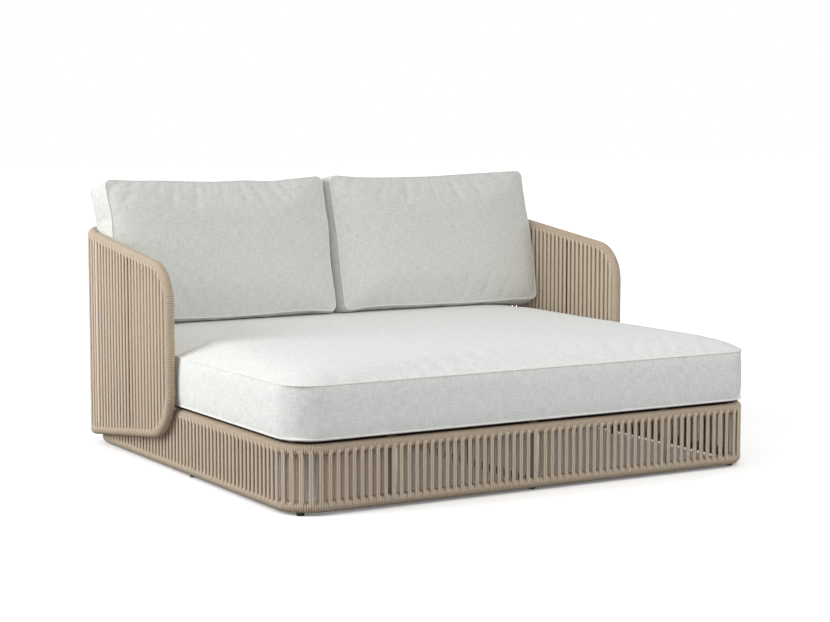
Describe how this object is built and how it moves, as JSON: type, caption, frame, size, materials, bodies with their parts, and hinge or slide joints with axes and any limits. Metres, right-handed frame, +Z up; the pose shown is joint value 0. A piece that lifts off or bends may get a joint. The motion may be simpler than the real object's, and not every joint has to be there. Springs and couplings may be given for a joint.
{
  "type": "outdoor daybed",
  "caption": "Square outdoor daybed with an open rope-wound platform and wrap-around rope back and arms, a deep seat mattress and leaning back cushions.",
  "frame": {"origin": "middle of the footprint, on the floor", "axes": "+X to the sitter's left hand side when seated, seen as right from the front; -Y is the open front; +Z up"},
  "size_m": [1.8277, 1.6334, 0.942],
  "materials": {
    "rope": "matte",
    "frame_paint": "satin",
    "slat_wood": "matte",
    "glide_plastic": "matte",
    "bolt_steel": "satin",
    "cover_fabric": "matte",
    "foam": "matte"
  },
  "bodies": {
    "frame": {"arm_left_inner_strands": "rope", "arm_left_outer_strands": "rope", "arm_right_inner_strands": "rope", "arm_right_outer_strands": "rope", "back_inner_strands": "rope", "back_outer_strands": "rope", "base_back_inner_strands": "rope", "base_back_left_corner_strands": "rope", "base_back_outer_strands": "rope", "base_back_right_corner_strands": "rope", "base_front_inner_strands": "rope", "base_front_left_corner_strands": "rope", "base_front_outer_strands": "rope", "base_front_right_corner_strands": "rope", "base_left_inner_strands": "rope", "base_left_outer_strands": "rope", "base_low_rail_rope_wrap": "rope", "base_low_rail_tube": "frame_paint", "base_posts": "frame_paint", "base_right_inner_strands": "rope", "base_right_outer_strands": "rope", "base_top_rail_rope_wrap": "rope", "base_top_rail_tube": "frame_paint", "centre_legs": "frame_paint", "deck_beams": "frame_paint", "deck_slats": "slat_wood", "floor_glides": "glide_plastic", "joining_bolts": "bolt_steel", "low_beam": "frame_paint", "shell_left_corner_strands": "rope", "shell_posts": "frame_paint", "shell_right_corner_strands": "rope", "shell_rope_wrap": "rope", "shell_tube": "frame_paint"},
    "mattress": {"mattress_cover": "cover_fabric", "mattress_foam": "foam"},
    "left_back_cushion": {"back_cushion_left_cover": "cover_fabric", "back_cushion_left_foam": "foam"},
    "right_back_cushion": {"back_cushion_right_cover": "cover_fabric", "back_cushion_right_foam": "foam"}
  },
  "joints": [
    {"name": "mattress_lift", "type": "slide", "parent": "frame", "child": "mattress", "axis": [0, 0, 1], "range_m": [0, 0.3]},
    {"name": "left_cushion_lift", "type": "slide", "parent": "mattress", "child": "left_back_cushion", "axis": [0, 0, 1], "range_m": [0, 0.4]},
    {"name": "right_cushion_lift", "type": "slide", "parent": "mattress", "child": "right_back_cushion", "axis": [0, 0, 1], "range_m": [0, 0.4]}
  ]
}
